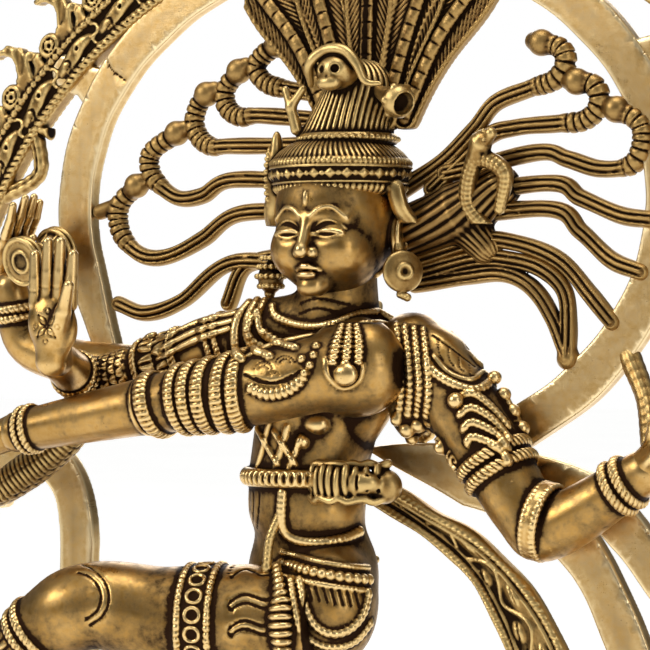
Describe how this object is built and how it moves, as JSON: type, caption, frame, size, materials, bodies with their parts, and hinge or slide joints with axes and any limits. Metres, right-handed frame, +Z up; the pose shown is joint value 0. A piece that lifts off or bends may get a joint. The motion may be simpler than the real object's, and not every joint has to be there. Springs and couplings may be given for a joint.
{
  "type": "brass nataraja statue",
  "caption": "Brass dancing four-armed figure on a lotus base, backed by a ring-shaped band and framed by a flame arch, with free-standing strands of hair.",
  "frame": {"origin": "middle of the underside of the base plinth", "axes": "+Z up, the figure faces -Y, +X to the viewer's right when facing the figure"},
  "size_m": [0.502, 0.15, 0.6355],
  "materials": {
    "figure": "polished cast brass, worn bright on high spots with brown patina in the hollows",
    "band": "brushed flat brass band with fine scratches",
    "ornament": "chiselled cast brass, duller, with dark brown patina",
    "steel": "plain zinc-plated fasteners under the base"
  },
  "bodies": {
    "root": {"base_nut": "steel", "base_stud": "steel", "arch_screw_left": "steel", "arch_screw_right": "steel", "base_plinth": "ornament", "lotus_pedestal": "ornament", "dwarf_body": "figure", "dwarf_head": "figure", "torso": "figure", "head": "figure", "headdress": "ornament", "feather_fan": "ornament", "earring_left": "ornament", "earring_right": "ornament", "standing_leg": "figure", "raised_leg": "figure", "front_left_arm": "figure", "front_left_hand": "figure", "front_right_arm": "figure", "blessing_hand": "figure", "back_right_arm": "figure", "drum": "ornament", "drum_hand": "figure", "back_left_arm": "figure", "flame": "ornament", "flame_hand": "figure", "waist_sash": "ornament", "sash_knot": "ornament", "arm_cobra": "ornament", "om_lower_bowl": "band", "om_upper_bowl": "band", "om_tail": "band", "om_crescent": "band", "om_bindu": "band", "hand_brace": "ornament", "hair_root": "ornament", "hair_cobra": "ornament", "makara_left": "ornament", "makara_right": "ornament", "arch_crest": "ornament", "arch_left": "ornament", "arch_right": "ornament", "lug_left": "band", "lug_right": "band", "vine_left": "ornament", "vine_right": "ornament", "hair_left_1": "ornament", "hair_left_2": "ornament", "hair_left_3": "ornament", "hair_left_4": "ornament", "hair_left_5": "ornament", "hair_left_6": "ornament", "hair_left_short": "ornament", "hair_right_1": "ornament", "hair_right_2": "ornament", "hair_right_3": "ornament", "hair_right_4": "ornament", "hair_right_5": "ornament", "hair_right_6": "ornament", "hair_right_7": "ornament"}
  },
  "joints": []
}
